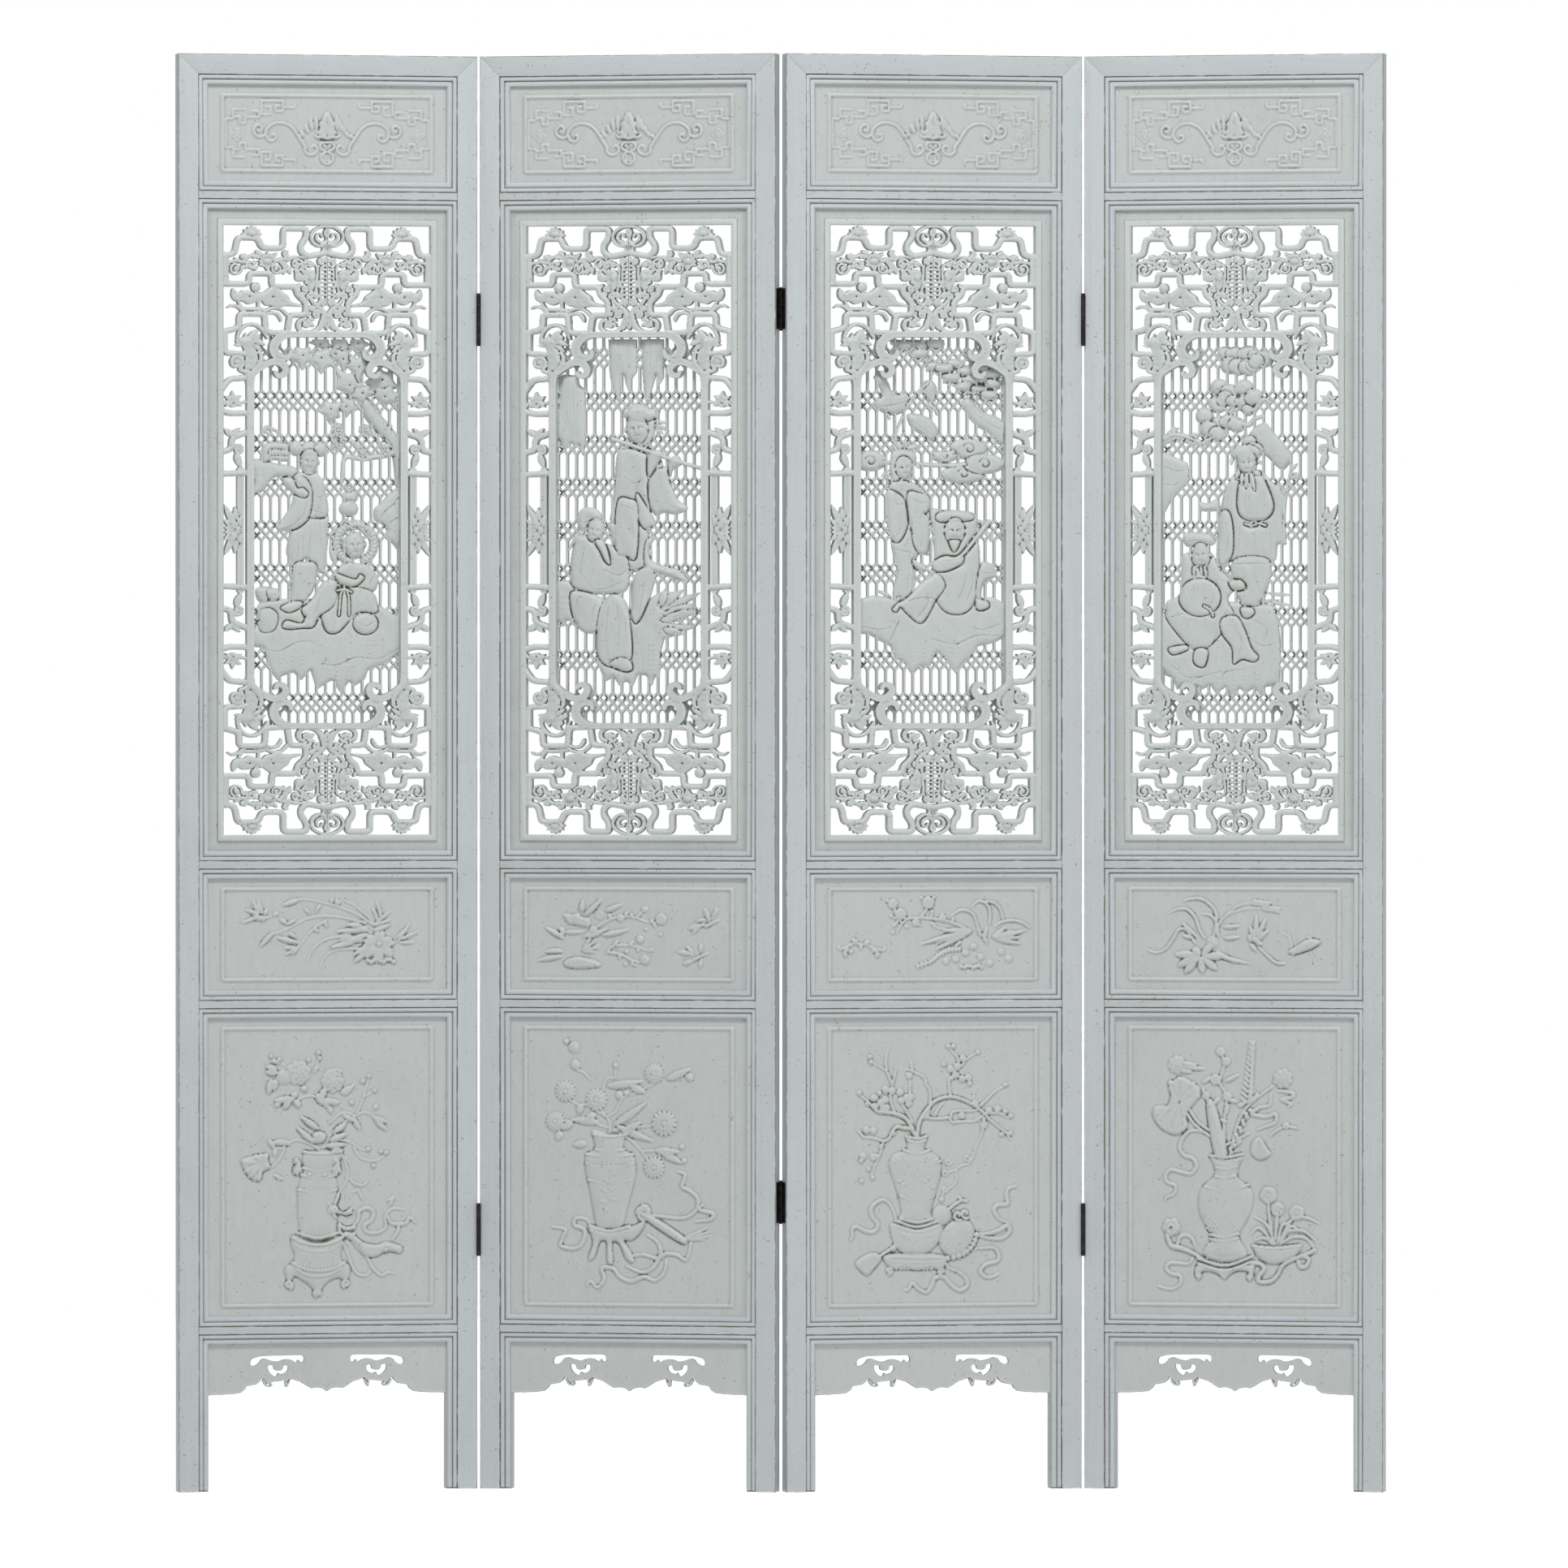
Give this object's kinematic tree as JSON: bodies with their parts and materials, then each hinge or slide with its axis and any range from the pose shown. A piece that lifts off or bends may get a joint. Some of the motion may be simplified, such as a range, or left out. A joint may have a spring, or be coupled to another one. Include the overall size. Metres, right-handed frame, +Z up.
{
  "type": "folding floor screen",
  "caption": "Folding floor screen of carved, lacquered wood: hinged leaves with pierced fretwork and relief boards, joined so that it stands in a zigzag.",
  "frame": {"origin": "on the floor under the middle of the standing screen's box", "axes": "+Z up, +X along the screen to the viewer's right, +Y from the carved front to the back"},
  "size_m": [1.541, 0.108, 1.829],
  "materials": {
    "frame_lacquer": "worn satin lacquer",
    "board_lacquer": "worn satin lacquer",
    "carving_lacquer": "worn satin lacquer",
    "hinge_iron": "black, matt"
  },
  "bodies": {
    "leaf_1": {"leaf_1_left_stile": "frame_lacquer", "leaf_1_right_stile": "frame_lacquer", "leaf_1_rails": "frame_lacquer", "leaf_1_mouldings": "frame_lacquer", "leaf_1_upper_board": "board_lacquer", "leaf_1_fretwork": "carving_lacquer", "leaf_1_lattice": "carving_lacquer", "leaf_1_scene_carving": "carving_lacquer", "leaf_1_middle_board": "board_lacquer", "leaf_1_lower_board": "board_lacquer", "leaf_1_apron": "board_lacquer", "hinge_1_2_left_plates": "hinge_iron", "hinge_1_2_pins": "hinge_iron", "hinge_1_2_left_screws": "hinge_iron"},
    "leaf_2": {"leaf_2_left_stile": "frame_lacquer", "leaf_2_right_stile": "frame_lacquer", "leaf_2_rails": "frame_lacquer", "leaf_2_mouldings": "frame_lacquer", "leaf_2_upper_board": "board_lacquer", "leaf_2_fretwork": "carving_lacquer", "leaf_2_lattice": "carving_lacquer", "leaf_2_scene_carving": "carving_lacquer", "leaf_2_middle_board": "board_lacquer", "leaf_2_lower_board": "board_lacquer", "leaf_2_apron": "board_lacquer", "hinge_1_2_right_plates": "hinge_iron", "hinge_1_2_right_screws": "hinge_iron", "hinge_2_3_left_plates": "hinge_iron", "hinge_2_3_pins": "hinge_iron", "hinge_2_3_left_screws": "hinge_iron"},
    "leaf_3": {"leaf_3_left_stile": "frame_lacquer", "leaf_3_right_stile": "frame_lacquer", "leaf_3_rails": "frame_lacquer", "leaf_3_mouldings": "frame_lacquer", "leaf_3_upper_board": "board_lacquer", "leaf_3_fretwork": "carving_lacquer", "leaf_3_lattice": "carving_lacquer", "leaf_3_scene_carving": "carving_lacquer", "leaf_3_middle_board": "board_lacquer", "leaf_3_lower_board": "board_lacquer", "leaf_3_apron": "board_lacquer", "hinge_2_3_right_plates": "hinge_iron", "hinge_2_3_right_screws": "hinge_iron", "hinge_3_4_left_plates": "hinge_iron", "hinge_3_4_pins": "hinge_iron", "hinge_3_4_left_screws": "hinge_iron"},
    "leaf_4": {"leaf_4_left_stile": "frame_lacquer", "leaf_4_right_stile": "frame_lacquer", "leaf_4_rails": "frame_lacquer", "leaf_4_mouldings": "frame_lacquer", "leaf_4_upper_board": "board_lacquer", "leaf_4_fretwork": "carving_lacquer", "leaf_4_lattice": "carving_lacquer", "leaf_4_scene_carving": "carving_lacquer", "leaf_4_middle_board": "board_lacquer", "leaf_4_lower_board": "board_lacquer", "leaf_4_apron": "board_lacquer", "hinge_3_4_right_plates": "hinge_iron", "hinge_3_4_right_screws": "hinge_iron"}
  },
  "joints": [
    {"name": "hinge_1_2", "type": "hinge", "parent": "leaf_2", "child": "leaf_1", "pos_m": [-0.38609, 0.02672, 0.9], "axis": [0, 0, 1], "range_deg": [-25, 155]},
    {"name": "hinge_2_3", "type": "hinge", "parent": "leaf_2", "child": "leaf_3", "pos_m": [0, -0.02672, 0.9], "axis": [0, 0, 1], "range_deg": [-25, 155]},
    {"name": "hinge_3_4", "type": "hinge", "parent": "leaf_3", "child": "leaf_4", "pos_m": [0.38609, 0.02672, 0.9], "axis": [0, 0, 1], "range_deg": [-155, 25]}
  ]
}
